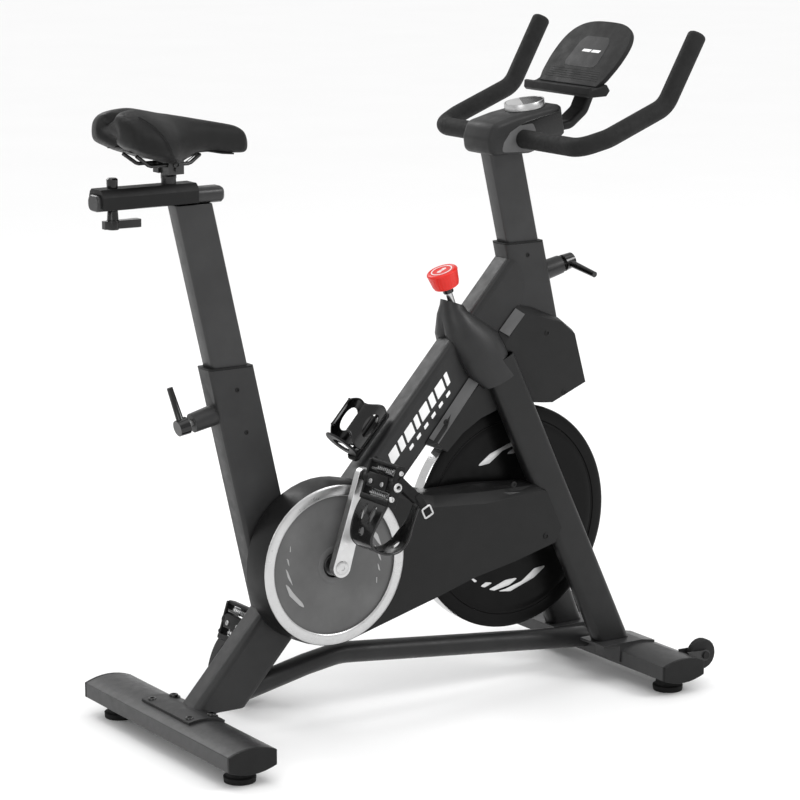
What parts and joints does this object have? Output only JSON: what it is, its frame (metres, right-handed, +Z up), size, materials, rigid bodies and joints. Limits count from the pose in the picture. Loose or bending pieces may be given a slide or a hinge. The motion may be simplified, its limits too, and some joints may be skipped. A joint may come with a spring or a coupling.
{
  "type": "exercise bike",
  "caption": "Indoor cycling exercise bike with a belt-driven flywheel, guarded crank, adjustable saddle and handlebar posts, brake knob, bottle cage and media holder.",
  "frame": {"origin": "centre of the bounding box in plan, on the floor", "axes": "+X forward, toward the handlebar; +Y to the rider's left; +Z up"},
  "size_m": [1.2032, 0.53, 1.2476],
  "materials": {
    "aluminium": "satin",
    "chrome": "polished",
    "felt": "felt",
    "frame_black": "satin",
    "leather_black": "soft synthetic",
    "plastic_black": "fine grain",
    "plastic_grey": "satin",
    "red": "gloss",
    "rubber_black": "matte",
    "steel": "bright"
  },
  "bodies": {
    "frame": {"belt_guard_back": "plastic_black", "belt_guard_cover": "plastic_black", "bottle_cage": "plastic_black", "drive_belt": "rubber_black", "flywheel_axle": "steel", "fork_crown_cover": "plastic_black", "fork_leg_left": "frame_black", "fork_leg_right": "frame_black", "front_end_cap_left": "plastic_black", "front_end_cap_right": "plastic_black", "front_shroud": "plastic_black", "front_stabiliser": "frame_black", "guard_disc": "plastic_grey", "guard_trim_ring": "aluminium", "handlebar_sleeve": "frame_black", "handlebar_sleeve_bushing": "plastic_black", "lower_rail": "frame_black", "main_beam": "frame_black", "rear_end_cap_left": "plastic_black", "rear_end_cap_right": "plastic_black", "rear_stabiliser": "frame_black", "seat_sleeve": "frame_black", "seat_sleeve_bushing": "plastic_black"},
    "seat_post": {"seat_post": "frame_black", "seat_rail": "frame_black"},
    "seat_slider": {"seat_slider": "frame_black", "saddle_stem": "steel"},
    "slider_clamp_lever": {"slider_clamp_lever": "plastic_black"},
    "saddle": {"saddle_cushion": "leather_black", "saddle_base": "plastic_black", "saddle_rails": "steel", "saddle_clamp": "steel"},
    "seat_pin": {"seat_pin": "steel"},
    "seat_pin_lever": {"seat_pin_lever": "plastic_black"},
    "handlebar_post": {"handlebar_post": "frame_black", "handlebar": "frame_black", "grip_left": "rubber_black", "grip_right": "rubber_black", "console_housing": "plastic_grey", "console_dial": "chrome", "media_holder": "plastic_black"},
    "handlebar_pin": {"handlebar_pin": "steel"},
    "handlebar_pin_lever": {"handlebar_pin_lever": "plastic_black"},
    "brake_rod": {"brake_rod": "steel", "brake_pad": "felt"},
    "brake_knob": {"brake_knob": "red"},
    "flywheel": {"flywheel": "chrome", "flywheel_cover_left": "plastic_black", "flywheel_cover_right": "plastic_black"},
    "crankset": {"crank_axle": "steel", "crank_arm_left": "aluminium", "crank_arm_right": "aluminium"},
    "pedal_left": {"pedal_left": "rubber_black"},
    "pedal_right": {"pedal_right": "rubber_black"},
    "transport_wheel_left": {"transport_wheel_left": "rubber_black"},
    "transport_wheel_right": {"transport_wheel_right": "rubber_black"},
    "foot_front_left": {"foot_front_left": "rubber_black"},
    "foot_front_right": {"foot_front_right": "rubber_black"},
    "foot_rear_left": {"foot_rear_left": "rubber_black"},
    "foot_rear_right": {"foot_rear_right": "rubber_black"}
  },
  "joints": [
    {"name": "seat_height", "type": "slide", "parent": "frame", "child": "seat_post", "axis": [-0.2233, 0, 0.9748], "range_m": [-0.19, 0.06]},
    {"name": "seat_fore_aft", "type": "slide", "parent": "seat_post", "child": "seat_slider", "axis": [1, 0, 0], "range_m": [-0.01, 0.045]},
    {"name": "slider_clamp_turn", "type": "hinge", "parent": "seat_slider", "child": "slider_clamp_lever", "pos_m": [-0.5641, 0, 0.95], "axis": [0, 0, 1], "range_deg": [-60, 180]},
    {"name": "saddle_tilt", "type": "hinge", "parent": "seat_slider", "child": "saddle", "pos_m": [-0.4551, 0, 1.038], "axis": [0, 1, 0], "range_deg": [-12, 12]},
    {"name": "seat_pin_pull", "type": "slide", "parent": "frame", "child": "seat_pin", "axis": [-0.9748, 0, -0.2233], "range_m": [0, 0.012], "stiffness_N_per_m": 600},
    {"name": "seat_pin_lever_turn", "type": "hinge", "parent": "seat_pin", "child": "seat_pin_lever", "pos_m": [-0.42591, 0, 0.58412], "axis": [-0.9748, 0, -0.2233], "range_deg": [-90, 90]},
    {"name": "handlebar_height", "type": "slide", "parent": "frame", "child": "handlebar_post", "axis": [-0.225, 0, 0.9744], "range_m": [-0.055, 0.045]},
    {"name": "handlebar_pin_pull", "type": "slide", "parent": "frame", "child": "handlebar_pin", "axis": [0.9744, 0, 0.225], "range_m": [0, 0.012], "stiffness_N_per_m": 600},
    {"name": "handlebar_pin_lever_turn", "type": "hinge", "parent": "handlebar_pin", "child": "handlebar_pin_lever", "pos_m": [0.38611, 0, 0.79947], "axis": [0.9744, 0, 0.225], "range_deg": [-90, 90]},
    {"name": "brake_push", "type": "slide", "parent": "frame", "child": "brake_rod", "axis": [0.3502, 0, -0.9367], "range_m": [0, 0.008], "stiffness_N_per_m": 3000},
    {"name": "brake_knob_turn", "type": "hinge", "parent": "brake_rod", "child": "brake_knob", "pos_m": [0.12209, 0, 0.77877], "axis": [0.3502, 0, -0.9367], "range_deg": [0, 720]},
    {"name": "flywheel_spin", "type": "hinge", "parent": "frame", "child": "flywheel", "pos_m": [0.2606, 0, 0.3304], "axis": [0, 1, 0], "continuous": true},
    {"name": "crank_spin", "type": "hinge", "parent": "frame", "child": "crankset", "pos_m": [-0.1754, 0, 0.3135], "axis": [0, 1, 0], "continuous": true},
    {"name": "pedal_left_spin", "type": "hinge", "parent": "crankset", "child": "pedal_left", "pos_m": [-0.22509, 0, 0.15092], "axis": [0, 1, 0], "continuous": true},
    {"name": "transport_wheel_left_spin", "type": "hinge", "parent": "frame", "child": "transport_wheel_left", "pos_m": [0.5719, 0.203, 0.0575], "axis": [0, 1, 0], "continuous": true},
    {"name": "pedal_right_spin", "type": "hinge", "parent": "crankset", "child": "pedal_right", "pos_m": [-0.12571, 0, 0.47608], "axis": [0, 1, 0], "continuous": true},
    {"name": "transport_wheel_right_spin", "type": "hinge", "parent": "frame", "child": "transport_wheel_right", "pos_m": [0.5719, -0.203, 0.0575], "axis": [0, 1, 0], "continuous": true},
    {"name": "foot_front_left_turn", "type": "hinge", "parent": "frame", "child": "foot_front_left", "pos_m": [0.4939, 0.2023, 0], "axis": [0, 0, 1], "range_deg": [-180, 180]},
    {"name": "foot_front_right_turn", "type": "hinge", "parent": "frame", "child": "foot_front_right", "pos_m": [0.4939, -0.2023, 0], "axis": [0, 0, 1], "range_deg": [-180, 180]},
    {"name": "foot_rear_left_turn", "type": "hinge", "parent": "frame", "child": "foot_rear_left", "pos_m": [-0.4541, 0.2176, 0], "axis": [0, 0, 1], "range_deg": [-180, 180]},
    {"name": "foot_rear_right_turn", "type": "hinge", "parent": "frame", "child": "foot_rear_right", "pos_m": [-0.4541, -0.2176, 0], "axis": [0, 0, 1], "range_deg": [-180, 180]}
  ],
  "couplings": [
    {"joint": "crank_spin", "follows": "flywheel_spin", "ratio": 0.25424}
  ]
}
